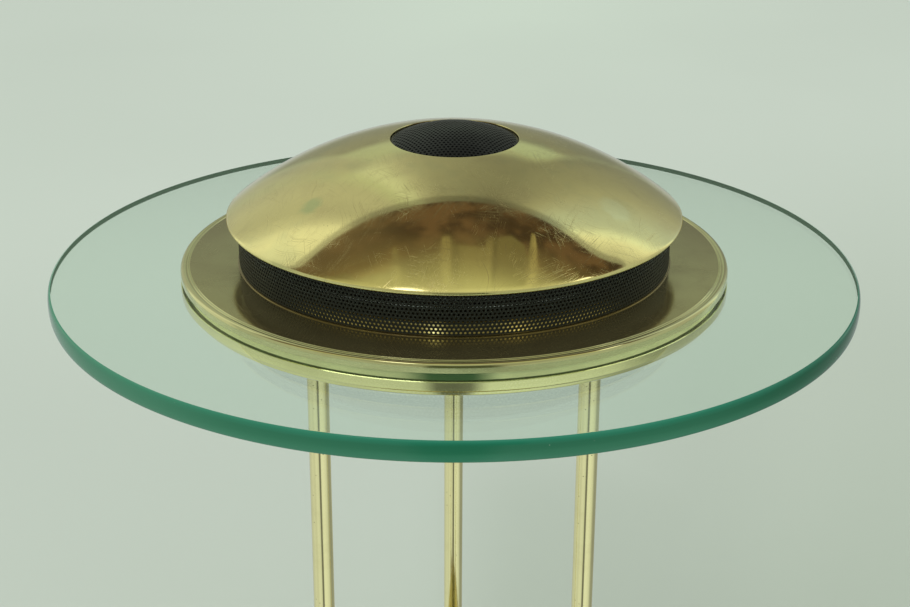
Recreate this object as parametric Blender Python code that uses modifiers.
"""Brass and glass table lamp: black drum and brass dome over a round clear glass disc,
carried on three slim brass tubes by a weighted round base.

Metres, +Z up, front of the lamp toward -Y. The origin is the centre of the underside of the
felt pad, so Z = 0 is the table top.
"""
import math

import bmesh
import bpy
from mathutils import Matrix, Vector

for old_object in list(bpy.data.objects):
    bpy.data.objects.remove(old_object, do_unlink=True)

# ------------------------------------------------------------------ shared dimensions
GAP = 0.0003                # clearance between neighbouring pieces

GLASS_R = 0.2045
GLASS_T = 0.0100
GLASS_TOP = 0.3750          # height of the upper glass face above the table
GLASS_BOT = GLASS_TOP - GLASS_T

FLANGE_R = 0.1390           # stepped brass plates above and below the glass
FLANGE_H = 0.0050           # upper plate, top face above the glass
FLANGE_SHEET = 0.0015
STEP_R = 0.1100             # low step on the upper plate that the drum stands on
STEP_TOP = GLASS_TOP + FLANGE_H + 0.0006
FLANGE_INSIDE = GLASS_TOP + FLANGE_H - FLANGE_SHEET
LOWER_BOT = GLASS_BOT - 0.0082

BASE_R = 0.1390
BASE_TOP = 0.0300
BASE_SHEET = 0.0015
BASE_CEILING = BASE_TOP - BASE_SHEET

ROD_CIRCLE = 0.0790         # radius of the circle the three tubes stand on
ROD_AZ = {"back": 90.0, "left": 210.0, "right": 330.0}
TIE_R = 0.0045              # threaded tube inside each brass tube
TIE_HOLE_R = TIE_R + GAP
TIE_TOP = GLASS_TOP + 0.0115
NUT_H = 0.0035              # nuts on the threaded tubes
SCREW_AZ = (30.0, 150.0, 270.0)     # small screws, one between each pair of tubes

# steps of turned parts and sides of round holes
SEG_BIG = 64
SEG_MID = 40
SEG_SMALL = 20
SEG_FITTING = 16
SEG_TINY = 12
SEG_SCREW = 10

WELD = 0.00001              # points closer than this are merged
SIDES = (("left", -1.0), ("right", 1.0))    # name, sign of x

# ------------------------------------------------------------------ collections, materials
PARTS = bpy.data.collections.new("brass_glass_table_lamp")
CUTTERS = bpy.data.collections.new("cutters")
bpy.context.scene.collection.children.link(PARTS)
bpy.context.scene.collection.children.link(CUTTERS)

# base colour, roughness, metallic, transmission
LOOKS = {
    "brass": ((0.72, 0.56, 0.24), 0.16, 1.0, 0.0),
    "black": ((0.012, 0.013, 0.012), 0.42, 0.0, 0.0),
    "steel": ((0.55, 0.55, 0.56), 0.35, 1.0, 0.0),
    "iron": ((0.10, 0.10, 0.10), 0.7, 0.6, 0.0),
    "felt": ((0.03, 0.06, 0.04), 0.95, 0.0, 0.0),
    "glass": ((0.80, 0.92, 0.86), 0.03, 0.0, 1.0),
    "quartz": ((0.95, 0.96, 0.97), 0.02, 0.0, 1.0),
    "ceramic": ((0.86, 0.84, 0.78), 0.5, 0.0, 0.0),
    "aluminium": ((0.78, 0.78, 0.79), 0.22, 1.0, 0.0),
    "rubber": ((0.05, 0.05, 0.05), 0.7, 0.0, 0.0),
    "cord": ((0.30, 0.20, 0.09), 0.45, 0.0, 0.0),
    "plastic": ((0.26, 0.17, 0.08), 0.4, 0.0, 0.0),
    "wire_a": ((0.02, 0.02, 0.02), 0.5, 0.0, 0.0),
    "wire_b": ((0.75, 0.75, 0.72), 0.5, 0.0, 0.0),
    "silver": ((0.80, 0.79, 0.76), 0.25, 1.0, 0.0),
}


def material(name, look):
    colour, roughness, metallic, transmission = LOOKS[look]
    mat = bpy.data.materials.new(name)
    mat.use_nodes = True
    inputs = mat.node_tree.nodes["Principled BSDF"].inputs
    inputs["Base Color"].default_value = (*colour, 1.0)
    inputs["Roughness"].default_value = roughness
    inputs["Metallic"].default_value = metallic
    inputs["Transmission Weight"].default_value = transmission
    mat.diffuse_color = (*colour, 1.0)
    mat.roughness = roughness
    mat.metallic = metallic
    return mat


# ------------------------------------------------------------------ shape makers
def place(name, data, collection, loc, rot):
    obj = bpy.data.objects.new(name, data)
    obj.location = loc
    obj.rotation_euler = rot
    collection.objects.link(obj)
    return obj


def add(name, data, look, loc=(0, 0, 0), rot=(0, 0, 0)):
    """Visible piece with a material of its own."""
    data.materials.append(material("mat_" + name, look))
    return place(name, data, PARTS, loc, rot)


def polar(radius, azimuth, z=0.0):
    angle = math.radians(azimuth)
    return (radius * math.cos(angle), radius * math.sin(angle), z)


def arc(centre_x, centre_z, radius, start, end, count):
    """Points of a circular arc in the profile plane, angles in degrees."""
    points = []
    for i in range(count + 1):
        angle = math.radians(start + (end - start) * i / count)
        points.append((centre_x + radius * math.cos(angle), centre_z + radius * math.sin(angle)))
    return points


def revolve(name, points, look, steps=SEG_MID, loc=(0, 0, 0), rot=(0, 0, 0)):
    """Part turned about Z from (radius, height) points; a profile off the axis is a closed ring."""
    mesh = bpy.data.meshes.new(name)
    count = len(points)
    edges = [(i, i + 1) for i in range(count - 1)]
    if points[0][0] > 0:
        edges.append((count - 1, 0))
    mesh.from_pydata([(x, 0.0, z) for x, z in points], edges, [])
    obj = add(name, mesh, look, loc, rot)
    turn = obj.modifiers.new("turn", "SCREW")
    turn.axis = "Z"
    turn.angle = 2 * math.pi
    turn.steps = steps
    turn.render_steps = steps
    turn.use_merge_vertices = True
    turn.merge_threshold = WELD
    return obj


def cylinder_mesh(name, radius, z0, z1, segments):
    mesh = bpy.data.meshes.new(name)
    bm = bmesh.new()
    bmesh.ops.create_cone(bm, cap_ends=True, cap_tris=False, segments=segments,
                          radius1=radius, radius2=radius, depth=z1 - z0,
                          matrix=Matrix.Translation((0, 0, (z0 + z1) / 2)))
    bm.to_mesh(mesh)
    bm.free()
    return mesh


def box_mesh(name, size):
    mesh = bpy.data.meshes.new(name)
    bm = bmesh.new()
    bmesh.ops.create_cube(bm, size=1.0, matrix=Matrix.Diagonal((*size, 1.0)))
    bm.to_mesh(mesh)
    bm.free()
    return mesh


def box(name, size, look, loc, rot=(0, 0, 0), bevel=0.0, segments=2):
    obj = add(name, box_mesh(name, size), look, loc, rot)
    if bevel:
        edge = obj.modifiers.new("edge", "BEVEL")
        edge.width = bevel
        edge.segments = segments
        edge.limit_method = "ANGLE"
    return obj


def cut(targets, name, mesh, loc, rot=(0, 0, 0)):
    """Subtract one hidden cutter from each target."""
    cutter = place(name, mesh, CUTTERS, loc, rot)
    cutter.hide_render = True
    cutter.display_type = "WIRE"
    for target in targets:
        boolean = target.modifiers.new("cut", "BOOLEAN")
        boolean.operation = "DIFFERENCE"
        boolean.solver = "EXACT"
        boolean.object = cutter


def drill(targets, name, radius, z0, z1, loc=(0, 0, 0), rot=(0, 0, 0), segments=SEG_TINY):
    cut(targets, name, cylinder_mesh(name, radius, z0, z1, segments), loc, rot)


def slot(targets, name, size, loc):
    cut(targets, name, box_mesh(name, size), loc)


def weld(obj):
    obj.modifiers.new("weld", "WELD").merge_threshold = WELD


def flat_shape(name, loops, thick, look, loc):
    """Plate cut from flat stock: 2D outline loops, extruded both ways about its middle."""
    curve = bpy.data.curves.new(name, "CURVE")
    curve.dimensions = "2D"
    curve.fill_mode = "BOTH"
    curve.extrude = thick / 2
    for loop in loops:
        spline = curve.splines.new("POLY")
        spline.points.add(len(loop) - 1)
        for point, (x, y) in zip(spline.points, loop):
            point.co = (x, y, 0.0, 1.0)
        spline.use_cyclic_u = True
    obj = add(name, curve, look, loc)
    weld(obj)
    return obj


def solid(flat):
    """Turn a flat-stock curve into a welded mesh piece, so that it can be cut."""
    bpy.context.view_layer.update()
    depsgraph = bpy.context.evaluated_depsgraph_get()
    mesh = bpy.data.meshes.new_from_object(flat.evaluated_get(depsgraph))
    bm = bmesh.new()
    bm.from_mesh(mesh)
    bmesh.ops.remove_doubles(bm, verts=bm.verts, dist=WELD)
    bmesh.ops.recalc_face_normals(bm, faces=bm.faces)
    bm.to_mesh(mesh)
    bm.free()
    mesh.materials.clear()
    mesh.materials.append(flat.data.materials[0])
    name, loc, rot = flat.name, flat.location.copy(), flat.rotation_euler.copy()
    bpy.data.objects.remove(flat, do_unlink=True)
    return place(name, mesh, PARTS, loc, rot)


def ring_loop(radius, count):
    return [polar(radius, 360.0 * i / count)[:2] for i in range(count)]


def hex_nut(name, corner_r, hole_r, thick, look, loc, hole_segments=SEG_FITTING):
    loops = [ring_loop(corner_r, 6), ring_loop(hole_r, hole_segments)]
    flat_shape(name, loops, thick, look, loc)


def wire(name, points, radius, look, bevel_resolution):
    """Round flexible lead through the given points."""
    curve = bpy.data.curves.new(name, "CURVE")
    curve.dimensions = "3D"
    curve.bevel_depth = radius
    curve.bevel_resolution = bevel_resolution
    curve.use_fill_caps = True
    curve.resolution_u = 3
    curve.render_resolution_u = 0
    spline = curve.splines.new("BEZIER")
    spline.bezier_points.add(len(points) - 1)
    for knot, point in zip(spline.bezier_points, points):
        knot.co = point
        knot.handle_left_type = "AUTO"
        knot.handle_right_type = "AUTO"
    weld(add(name, curve, look))


# ------------------------------------------------------------------ base
FELT_T = 0.0020
PLATE_Z0 = FELT_T + GAP
PLATE_Z1 = PLATE_Z0 + 0.0015
BALLAST_R = 0.0940
BALLAST_Z0 = PLATE_Z1 + GAP
BALLAST_Z1 = BASE_CEILING - GAP
POCKET_R = 0.0105           # pockets in the underside of the ballast for the foot nuts
POCKET_TOP = 0.0148
BASE_SCREW_CIRCLE = 0.0500
BASE_SCREW_R = 0.0020


def base_felt():
    """Felt ring, open in the middle where the bottom screws are."""
    inner, outer = 0.0600, 0.1340
    revolve("base_felt", [(inner, FELT_T), (outer, FELT_T), (outer, 0.0), (inner, 0.0)],
            "felt", SEG_BIG)


def base_plate():
    radius = BASE_R - BASE_SHEET - GAP
    edge = 0.0003
    return revolve("base_plate", [
        (0.0, PLATE_Z1), (radius - edge, PLATE_Z1), (radius, PLATE_Z1 - edge),
        (radius, PLATE_Z0 + edge), (radius - edge, PLATE_Z0), (0.0, PLATE_Z0)], "steel")


def base_ballast():
    top_edge, bottom_edge = 0.003, 0.001
    return revolve("base_ballast", [
        (0.0, BALLAST_Z1), (BALLAST_R - top_edge, BALLAST_Z1), (BALLAST_R, BALLAST_Z1 - top_edge),
        (BALLAST_R, BALLAST_Z0 + bottom_edge), (BALLAST_R - bottom_edge, BALLAST_Z0),
        (0.0, BALLAST_Z0)], "iron")


def base_shell():
    """Brass cover: flat top, round shoulder, step and bead, straight wall."""
    top_r = 0.1290
    outside = ([(0.0, BASE_TOP), (top_r, BASE_TOP)]
               + arc(top_r, BASE_TOP - 0.0050, 0.0050, 60, 0, 2)
               + [(0.1340, BASE_TOP - 0.0082)]
               + arc(0.1362, BASE_TOP - 0.0110, 0.0028, 90, 0, 2)
               + [(BASE_R, PLATE_Z0)])
    inside = [(BASE_R - BASE_SHEET, PLATE_Z0), (BASE_R - BASE_SHEET, BASE_TOP - 0.0118),
              (0.1325, BASE_TOP - 0.0118), (0.1325, BASE_TOP - 0.0045),
              (top_r, BASE_CEILING), (0.0, BASE_CEILING)]
    return revolve("base_shell", outside + inside, "brass", SEG_BIG)


def base_holes(ballast, shell):
    """Holes for the threaded tubes, nut pockets, and the channel for the lamp leads."""
    for key, azimuth in ROD_AZ.items():
        loc = polar(ROD_CIRCLE, azimuth)
        drill([ballast], "cut_ballast_" + key, TIE_HOLE_R, -0.01, 0.05, loc)
        drill([ballast], "cut_pocket_" + key, POCKET_R, -0.01, POCKET_TOP, loc)
        drill([shell], "cut_shell_" + key, TIE_HOLE_R, 0.020, 0.030, loc)
    slot([ballast], "cut_channel", (0.0080, 0.0300, 0.0160), (0, ROD_CIRCLE + 0.0120, 0.0020))


def base_screws(plate, ballast):
    profile = [
        (0.0, 0.0120), (0.0018, 0.0120), (BASE_SCREW_R, 0.0117),
        (BASE_SCREW_R, PLATE_Z0 - 0.0002), (0.0038, PLATE_Z0 - 0.0004),
        (0.0036, PLATE_Z0 - 0.0016), (0.0, PLATE_Z0 - 0.0019)]
    for i, azimuth in enumerate(SCREW_AZ):
        loc = polar(BASE_SCREW_CIRCLE, azimuth)
        drill([plate, ballast], "cut_screw_%d" % i, BASE_SCREW_R + GAP, -0.01, 0.0125, loc)
        revolve("base_screw_%d" % (i + 1), profile, "steel", SEG_SCREW, loc)


# ------------------------------------------------------------------ dimmer, front of the base
KNOB_Y = -0.1130
KNOB_R = 0.0095
KNOB_H = 0.0120
FLUTE_DEPTH = 0.0006
DIMMER_H = 0.0150
SHAFT_R = 0.0016
SHAFT_TOP = BASE_TOP + 0.0125
BUSH_R = 0.0034
BUSH_BORE = SHAFT_R + 0.00006       # running clearance on the turning shaft
BUSH_Z0 = BALLAST_Z0 + DIMMER_H + GAP
BUSH_Z1 = BASE_TOP + 0.0036
KNOB_Z0 = BUSH_Z1 + 0.0008
KNOB_Z1 = KNOB_Z0 + KNOB_H
DIMMER_AT = (0, KNOB_Y, 0)


def dimmer_body():
    box("dimmer_body", (0.0300, 0.0240, DIMMER_H), "black",
        (0, KNOB_Y, BALLAST_Z0 + DIMMER_H / 2), bevel=0.0012)


def dimmer_bushing(shell):
    """Bushing through the cover, with a collar below it and a nut above."""
    drill([shell], "cut_bush", BUSH_R + GAP, 0.015, 0.035, DIMMER_AT)
    edge = 0.0003
    collar_r = 0.0060
    collar_top = BASE_CEILING - 0.0005
    revolve("dimmer_bushing", [
        (BUSH_BORE, BUSH_Z1), (BUSH_R - edge, BUSH_Z1), (BUSH_R, BUSH_Z1 - edge),
        (BUSH_R, collar_top), (collar_r, collar_top), (collar_r, BUSH_Z0), (BUSH_BORE, BUSH_Z0)],
        "silver", SEG_FITTING, DIMMER_AT)
    nut_h = 0.0020
    hex_nut("dimmer_nut", 0.0058, BUSH_R + GAP, nut_h, "silver",
            (0, KNOB_Y, BASE_TOP + GAP + nut_h / 2))


def dimmer_shaft():
    edge = 0.0002
    bottom = BUSH_Z0 + GAP
    revolve("dimmer_shaft", [
        (0.0, SHAFT_TOP), (SHAFT_R - edge, SHAFT_TOP), (SHAFT_R, SHAFT_TOP - edge),
        (SHAFT_R, bottom), (0.0, bottom)], "silver", SEG_FITTING, DIMMER_AT)


def dimmer_knob():
    """Fluted knob, every third outline point set in, bored below and dimpled on top."""
    outline = [polar(KNOB_R if i % 3 else KNOB_R - FLUTE_DEPTH, 5.0 * i)[:2] for i in range(72)]
    knob = solid(flat_shape("dimmer_knob", [outline], KNOB_H, "brass",
                            (0, KNOB_Y, KNOB_Z0 + KNOB_H / 2)))
    drill([knob], "cut_knob_bore", SHAFT_R + 0.0001, KNOB_Z0 - 0.004, SHAFT_TOP + 0.0001, DIMMER_AT)
    drill([knob], "cut_knob_mark", 0.0009, KNOB_Z1 - 0.0006, KNOB_Z1 + 0.002,
          (0, KNOB_Y - 0.0064, 0), segments=16)


# ------------------------------------------------------------------ cord, grommet and plug
CORD_R = 0.0030
CORD_Z = 0.0105             # height of the cord where it leaves the base
CORD_LOOP = 0.1720          # the spare cord lies round the base on this radius
PLUG_AZ = -128.0
PLUG_AT = Vector(polar(CORD_LOOP, PLUG_AZ, 0.0103))
PLUG_DIR = Vector((math.sin(math.radians(PLUG_AZ)), -math.cos(math.radians(PLUG_AZ)), 0.0))
PLUG_HEADING = math.atan2(PLUG_DIR.y, PLUG_DIR.x)
PLUG_NOSE = 0.0170          # nose of the plug ahead of its origin
BLADE_LENGTH = 0.0160
BLADE_OFFSET = 0.00635      # each blade from the plug axis


def cord_grommet(shell):
    drill([shell], "cut_cord", 0.0052, -0.02, 0.02, (0, BASE_R, CORD_Z), (math.pi / 2, 0, 0))
    bore = CORD_R + 0.0006
    revolve("cord_grommet", [
        (bore, 0.0080), (0.0044, 0.0080), (0.0052, 0.0066), (0.0068, 0.0012), (0.0068, 0.0003),
        (0.0049, 0.0003), (0.0049, -0.0030), (0.0062, -0.0034), (0.0062, -0.0052),
        (bore, -0.0052)],
        "rubber", SEG_FITTING, (0, BASE_R, CORD_Z), (-math.pi / 2, 0, 0))


def power_cord():
    """From the dimmer round inside the cover, out at the back, then round the base."""
    points = [(0.0210, KNOB_Y, 0.0120)]
    points += [polar(0.1150, azimuth, CORD_Z) for azimuth in (-62, -38, -14, 10, 34, 56)]
    points += [
        (0.0260, 0.1130, CORD_Z), (0.0030, 0.1240, CORD_Z),
        (0.0, 0.1330, CORD_Z), (0.0, 0.1480, CORD_Z),
        (0.0005, 0.1600, 0.0085), (0.0090, 0.1715, 0.0048)]
    points += [polar(CORD_LOOP, azimuth, CORD_R + 0.0003)
               for azimuth in (78, 62, 44, 26, 8, -10, -28, -46, -64, -82, -98)]
    points.append(polar(CORD_LOOP, -110, 0.0055))
    end = PLUG_AT - PLUG_DIR * 0.0215
    points += [tuple(end - PLUG_DIR * 0.0080), tuple(end)]
    wire("power_cord", points, CORD_R, "cord", bevel_resolution=1)


def plug():
    """Tapered body with its long axis along the cord, and two blades out of its nose."""
    revolve("plug_body", [
        (0.0, PLUG_NOSE), (0.0095, PLUG_NOSE), (0.0100, 0.0155), (0.0100, 0.0020),
        (0.0085, -0.0080), (0.0060, -0.0150), (0.0052, -0.0205), (0.0, -0.0205)],
        "plastic", SEG_SMALL, tuple(PLUG_AT), (math.pi / 2, 0, PLUG_HEADING + math.pi / 2))
    leftward = Vector((0, 0, 1)).cross(PLUG_DIR)
    reach = PLUG_NOSE + GAP + BLADE_LENGTH / 2
    for tag, sign in (("left", 1.0), ("right", -1.0)):
        centre = PLUG_AT + leftward * (BLADE_OFFSET * sign) + PLUG_DIR * reach
        box("plug_blade_" + tag, (BLADE_LENGTH, 0.0015, 0.0063), "silver", tuple(centre),
            (0, 0, PLUG_HEADING), bevel=0.0003, segments=1)


# ------------------------------------------------------------------ tubes and threaded cores
def tube(name, bore, radius, bottom, top, look, steps, loc):
    """Upright tube with its outer edges eased."""
    edge = 0.0004
    revolve(name, [
        (bore, top), (radius - edge, top), (radius, top - edge),
        (radius, bottom + edge), (radius - edge, bottom), (bore, bottom)], look, steps, loc)


def supports():
    for key, azimuth in ROD_AZ.items():
        loc = polar(ROD_CIRCLE, azimuth)
        x, y = loc[:2]
        tube("rod_" + key, 0.0048, 0.0055, BASE_TOP + GAP, LOWER_BOT - GAP,
             "brass", SEG_SMALL, loc)
        tube("tie_" + key, 0.0032, TIE_R, 0.0095, TIE_TOP, "steel", SEG_FITTING, loc)
        hex_nut("foot_nut_" + key, 0.0085, TIE_R + 0.0002, NUT_H, "steel",
                (x, y, POCKET_TOP - GAP - NUT_H / 2))
        hex_nut("head_nut_" + key, 0.0080, TIE_R + 0.0002, NUT_H, "silver",
                (x, y, STEP_TOP + GAP + NUT_H / 2))


# ------------------------------------------------------------------ flanges, glass, gaskets
def lower_flange():
    floor = LOWER_BOT + FLANGE_SHEET
    rim = GLASS_BOT - GAP
    bend = GLASS_BOT - 0.0030
    return revolve("lower_flange",
                   [(0.0, floor), (0.1332, floor), (0.1374, bend), (0.1374, rim),
                    (FLANGE_R, rim), (FLANGE_R, bend)]
                   + arc(0.1363, bend, 0.0027, -45, -90, 1)
                   + [(0.1357, GLASS_BOT - 0.0074), (0.1339, LOWER_BOT), (0.0, LOWER_BOT)],
                   "brass", SEG_BIG)


def glass_disc():
    """Disc with a half-elliptical edge."""
    bulge = 0.0016
    middle = (GLASS_TOP + GLASS_BOT) / 2
    edge = []
    for degrees in (90, 60, 30, 0, -30, -60, -90):
        angle = math.radians(degrees)
        edge.append((GLASS_R - bulge + bulge * math.cos(angle),
                     middle + (GLASS_T / 2) * math.sin(angle)))
    return revolve("glass_disc",
                   [(0.0, GLASS_TOP), (FLANGE_R + 0.0006, GLASS_TOP)] + edge + [(0.0, GLASS_BOT)],
                   "glass", SEG_BIG)


def upper_flange():
    face = GLASS_TOP + FLANGE_H
    hole_r = 0.0023
    return revolve("upper_flange",
                   [(hole_r, STEP_TOP), (STEP_R, STEP_TOP), (STEP_R, face),
                    (0.1344, face), (0.1356, GLASS_TOP + 0.0044), (0.1359, GLASS_TOP + 0.0036)]
                   + arc(0.1370, GLASS_TOP + 0.0016, 0.0020, 90, 0, 2)
                   + [(FLANGE_R, GLASS_TOP + GAP), (0.1374, GLASS_TOP + GAP),
                      (0.1374, GLASS_TOP + 0.0014), (0.1345, GLASS_TOP + 0.0025),
                      (0.1336, FLANGE_INSIDE), (hole_r, FLANGE_INSIDE)],
                   "brass", SEG_BIG)


def gasket(name, bottom, top):
    """Flat rubber ring under the circle of clamping points."""
    inner, outer = 0.0640, 0.0900
    return revolve(name, [(inner, top), (outer, top), (outer, bottom), (inner, bottom)], "rubber")


def clamping_holes(clamped, glass):
    for key, azimuth in ROD_AZ.items():
        loc = polar(ROD_CIRCLE, azimuth)
        drill(clamped, "cut_top_" + key, TIE_HOLE_R, LOWER_BOT - 0.004, GLASS_TOP + 0.010, loc)
        drill([glass], "cut_glass_" + key, 0.0060, GLASS_BOT - 0.004, GLASS_TOP + 0.004, loc)


# ------------------------------------------------------------------ drum and its inner ring
BAND_R = 0.1094
BAND_T = 0.0008
BAND_Z0 = STEP_TOP + GAP
BAND_Z1 = GLASS_TOP + 0.0282
RING_R = BAND_R - BAND_T - GAP      # outer radius of the rings inside the drum
RING_SHEET = 0.0012


def screen_band():
    inner = BAND_R - BAND_T
    revolve("screen_band", [(inner, BAND_Z1), (BAND_R, BAND_Z1), (BAND_R, BAND_Z0),
                            (inner, BAND_Z0)], "black", SEG_BIG)


def band_ring(flange):
    """Angle-section ring at the foot of the drum, screwed to the upper plate."""
    wall_r = RING_R - RING_SHEET
    foot_r = RING_R - 0.0090
    wall_top = BAND_Z0 + 0.0060
    foot_top = BAND_Z0 + RING_SHEET
    ring = revolve("band_ring", [
        (wall_r, wall_top), (RING_R, wall_top), (RING_R, BAND_Z0), (foot_r, BAND_Z0),
        (foot_r, foot_top), (wall_r, foot_top)], "brass", SEG_BIG)
    shank_r = 0.0015
    seat = foot_top + GAP
    screw = [
        (0.0, seat + 0.0016), (0.0016, seat + 0.0014), (0.0026, seat + 0.0006), (0.0027, seat),
        (shank_r, seat), (shank_r, GLASS_TOP + 0.0016), (0.0, GLASS_TOP + 0.0012)]
    for i, azimuth in enumerate(SCREW_AZ):
        loc = polar(RING_R - 0.0055, azimuth)
        drill([ring, flange], "cut_ring_%d" % i, shank_r + GAP,
              GLASS_TOP + 0.002, GLASS_TOP + 0.012, loc, segments=16)
        revolve("ring_screw_%d" % (i + 1), screw, "steel", SEG_SCREW, loc)


# ------------------------------------------------------------------ dome, seat ring and vent
DOME_R = 0.1150
DOME_SPHERE = 0.1830
DOME_RIM = GLASS_TOP + 0.0276
DOME_T = 0.0012
DOME_LIP = 0.0010
DOME_STEPS = 5
DOME_CENTRE = DOME_RIM + DOME_LIP - math.sqrt(DOME_SPHERE ** 2 - DOME_R ** 2)
OPENING_R = 0.0322          # round opening in the top of the dome

SCREEN_SPHERE = 0.0700
SCREEN_T = 0.0008
SCREEN_STEPS = 5
SCREEN_R = OPENING_R - GAP  # bulged part of the vent screen
RIM_R = 0.0355              # rim of the vent screen, under the edge of the opening


def dome_z(radius, depth=0.0):
    """Height of the dome sphere, or of the sphere a depth inside it."""
    return DOME_CENTRE + math.sqrt((DOME_SPHERE - depth) ** 2 - radius * radius)


SCREEN_Z = dome_z(OPENING_R, DOME_T) - GAP
SCREEN_CENTRE = SCREEN_Z + 0.0004 - math.sqrt(SCREEN_SPHERE ** 2 - SCREEN_R ** 2)
RIM_Z = dome_z(RIM_R, DOME_T) - GAP


def dome_curve(edge_r, depth=0.0):
    """Points from the opening out to edge_r."""
    radii = [OPENING_R + (edge_r - OPENING_R) * i / DOME_STEPS for i in range(DOME_STEPS + 1)]
    return [(radius, dome_z(radius, depth)) for radius in radii]


def dome_shell():
    rim = [(DOME_R, dome_z(DOME_R) - 0.0004), (DOME_R, DOME_RIM + 0.0003),
           (DOME_R - 0.0003, DOME_RIM), (DOME_R - DOME_T, DOME_RIM)]
    inner = dome_curve(DOME_R - DOME_T, DOME_T)[::-1]
    revolve("dome_shell", dome_curve(DOME_R - 0.0006) + rim + inner, "brass", SEG_BIG)


def dome_seat_ring():
    """Step-shaped ring in the dome mouth: rests on the drum and drops inside it."""
    seat = BAND_Z1 + GAP
    top = seat + RING_SHEET
    bottom = seat - 0.0060
    inner = RING_R - RING_SHEET
    outer = 0.1108
    revolve("dome_seat_ring", [(inner, top), (outer, top), (outer, seat), (RING_R, seat),
                               (RING_R, bottom), (inner, bottom)], "steel")


def screen_curve(last, depth=0.0):
    """Points of the bulge from the axis out to step number last."""
    radii = [SCREEN_R * i / SCREEN_STEPS for i in range(last + 1)]
    sphere = SCREEN_SPHERE - depth
    return [(radius, SCREEN_CENTRE + math.sqrt(sphere ** 2 - radius * radius)) for radius in radii]


def vent():
    """Bulged screen in the opening, and the ring under its rim."""
    inner_r = SCREEN_R - 0.0004
    rim = [(SCREEN_R + 0.0001, SCREEN_Z), (RIM_R, RIM_Z), (RIM_R, RIM_Z - SCREEN_T),
           (inner_r, SCREEN_Z - SCREEN_T)]
    underside = screen_curve(SCREEN_STEPS - 1, SCREEN_T)[::-1]
    revolve("vent_screen", screen_curve(SCREEN_STEPS) + rim + underside, "black")
    ring_top = SCREEN_Z - SCREEN_T - GAP
    revolve("vent_ring", [
        (0.0305, ring_top), (inner_r, ring_top), (RIM_R, RIM_Z - SCREEN_T - GAP),
        (0.0365, RIM_Z - 0.0012 - GAP), (0.0365, RIM_Z - 0.0024), (0.0305, SCREEN_Z - 0.0020)],
        "steel")


# ------------------------------------------------------------------ light source
BRACKET_Z = STEP_TOP + GAP
BRACKET_W = 0.1500
BRACKET_H = 0.0260
BRACKET_T = 0.0015
SEAT_Z = BRACKET_Z + BRACKET_T + GAP        # underside of the bracket screw head
REFLECTOR_Z = GLASS_TOP + 0.0160
HOLDER_X = 0.0660
HOLDER_W = 0.0140
HOLDER_FACE = HOLDER_X - HOLDER_W / 2
LEAD_HOLE_Y = 0.0150
BULB_Z = GLASS_TOP + 0.0330
BULB_R = 0.0055
BULB_HALF = 0.0571          # half length over the end contacts


def lamp_bracket():
    """U-shaped bracket with upright ears at its left and right ends, screw and nut."""
    bracket = box("lamp_bracket", (BRACKET_W, 0.0160, BRACKET_H), "steel",
                  (0, 0, BRACKET_Z + BRACKET_H / 2))
    inside = (BRACKET_W - 2 * BRACKET_T, 0.0400, 0.0400)
    slot([bracket], "cut_bracket_inside", inside, (0, 0, BRACKET_Z + BRACKET_T + inside[2] / 2))
    shank_r = 0.0020
    drill([bracket], "cut_bracket_hole", shank_r + GAP, GLASS_TOP - 0.001, BRACKET_Z + 0.006)
    tip = GLASS_TOP + 0.0006
    revolve("bracket_screw", [
        (0.0, SEAT_Z + 0.0022), (0.0022, SEAT_Z + 0.0020), (0.0036, SEAT_Z + 0.0010),
        (0.0038, SEAT_Z), (shank_r, SEAT_Z), (shank_r, tip), (0.0, tip)], "steel", SEG_TINY)
    nut_h = 0.0022
    hex_nut("bracket_nut", 0.0042, shank_r + 0.0002, nut_h, "steel",
            (0, 0, FLANGE_INSIDE - GAP - nut_h / 2), SEG_SMALL)


def reflector():
    """Shallow bowl on a stud: slots for the bracket ears, round holes for the leads."""
    sheet = 0.0008
    rim_r = 0.1062
    rim_z = GLASS_TOP + 0.0188
    bowl = revolve("reflector", [
        (0.0, REFLECTOR_Z + sheet), (0.0860, REFLECTOR_Z + sheet),
        (0.0960, REFLECTOR_Z + 0.0012 + sheet), (rim_r - sheet, rim_z), (rim_r, rim_z - 0.0002),
        (rim_r, rim_z - 0.0010), (0.0965, REFLECTOR_Z + 0.0010), (0.0864, REFLECTOR_Z),
        (0.0, REFLECTOR_Z)], "aluminium")
    for tag, sign in SIDES:
        slot([bowl], "cut_slot_" + tag, (0.0040, 0.0180, 0.0200), (sign * 0.0742, 0, REFLECTOR_Z))
        drill([bowl], "cut_lead_" + tag, 0.0022, REFLECTOR_Z - 0.004, REFLECTOR_Z + 0.006,
              (sign * HOLDER_X, LEAD_HOLE_Y, 0))
    stud_r = 0.0045
    top = REFLECTOR_Z - GAP
    bottom = SEAT_Z + 0.0025
    revolve("reflector_stud", [(0.0, top), (stud_r, top), (stud_r, bottom), (0.0, bottom)],
            "steel", SEG_TINY)


def lampholders():
    for tag, sign in SIDES:
        holder = box("holder_" + tag, (HOLDER_W, 0.0150, 0.0240), "ceramic",
                     (sign * HOLDER_X, 0, BULB_Z - 0.0020), bevel=0.0012)
        face = (sign * HOLDER_FACE, 0, BULB_Z)
        outward = (0, math.pi / 2 * sign, 0)
        drill([holder], "cut_holder_" + tag, 0.0028, -0.0040, 0.0122, face, outward)
        revolve("contact_" + tag, [
            (0.0, 0.0076), (0.0024, 0.0076), (0.0027, 0.0072), (0.0027, 0.0004),
            (0.0016, -0.0010), (0.0, -0.0014)], "silver", SEG_TINY, face, outward)


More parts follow.
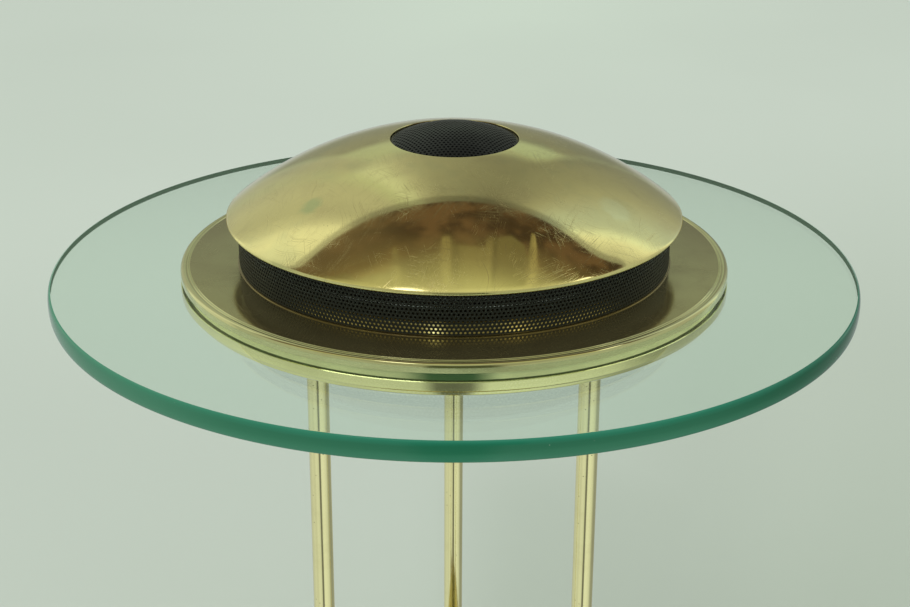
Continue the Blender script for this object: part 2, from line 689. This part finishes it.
def halogen_tube():
    """Double-ended bulb lying along X, the same at both ends."""
    # radius, distance in from the end
    stations = [(0.0, 0.0), (0.0030, 0.0), (0.0036, 0.0010), (0.0036, 0.0110),
                (0.0042, 0.0125), (0.0050, 0.0165), (BULB_R, 0.0200)]
    upper = [(radius, BULB_HALF - inset) for radius, inset in stations]
    lower = [(radius, -z) for radius, z in reversed(upper)]
    revolve("halogen_tube", upper + lower, "quartz", SEG_SMALL,
            (0, 0, BULB_Z), (0, math.pi / 2, 0))


def lamp_leads():
    """Along the base, up the back tube, then one lead to each lampholder."""
    for (tag, sign), look in zip(SIDES, ("wire_a", "wire_b")):
        in_tube_x = sign * 0.0014
        holder_x = sign * HOLDER_X
        points = [(-0.0190, KNOB_Y - sign * 0.0030, 0.0090)]
        points += [polar(0.1150 + sign * 0.0030, azimuth, 0.0078)
                   for azimuth in (-122, -146, -170, 166, 142, 120)]
        points += [
            (in_tube_x - 0.0060, 0.1130 + sign * 0.0020, 0.0075),
            (in_tube_x, 0.0970, 0.0070),
            (in_tube_x, 0.0850, 0.0070),
            (in_tube_x, ROD_CIRCLE + 0.0016, 0.0078),
            (in_tube_x, ROD_CIRCLE, 0.0120),
            (in_tube_x, ROD_CIRCLE, 0.1000),
            (in_tube_x, ROD_CIRCLE, 0.2400),
            (in_tube_x, ROD_CIRCLE, TIE_TOP - 0.0020),
            (sign * 0.0024, ROD_CIRCLE - 0.0012, TIE_TOP + 0.0020),
            (sign * 0.0100, ROD_CIRCLE - 0.0070, TIE_TOP + 0.0024),
            (sign * 0.0350, 0.0520, TIE_TOP + 0.0004),
            (sign * 0.0580, 0.0280, TIE_TOP - 0.0006),
            (holder_x, 0.0162, TIE_TOP + 0.0014),
            (holder_x, LEAD_HOLE_Y, REFLECTOR_Z + 0.0004),
            (holder_x, 0.0135, REFLECTOR_Z + 0.0060),
            (holder_x, 0.0079, REFLECTOR_Z + 0.0090)]
        wire("lead_" + tag, points, 0.0009, look, bevel_resolution=0)


# ------------------------------------------------------------------ build
def build_base():
    base_felt()
    plate = base_plate()
    ballast = base_ballast()
    shell = base_shell()
    base_holes(ballast, shell)
    base_screws(plate, ballast)
    dimmer_body()
    dimmer_bushing(shell)
    dimmer_shaft()
    dimmer_knob()
    cord_grommet(shell)
    power_cord()
    plug()


def build_head():
    lower = lower_flange()
    glass = glass_disc()
    upper = upper_flange()
    lower_pad = gasket("lower_gasket", LOWER_BOT + FLANGE_SHEET + GAP, GLASS_BOT - GAP)
    upper_pad = gasket("upper_gasket", GLASS_TOP + GAP, FLANGE_INSIDE - GAP)
    clamping_holes([lower, lower_pad, upper_pad, upper], glass)
    screen_band()
    band_ring(upper)
    dome_shell()
    dome_seat_ring()
    vent()
    lamp_bracket()
    reflector()
    lampholders()
    halogen_tube()
    lamp_leads()


build_base()
supports()
build_head()
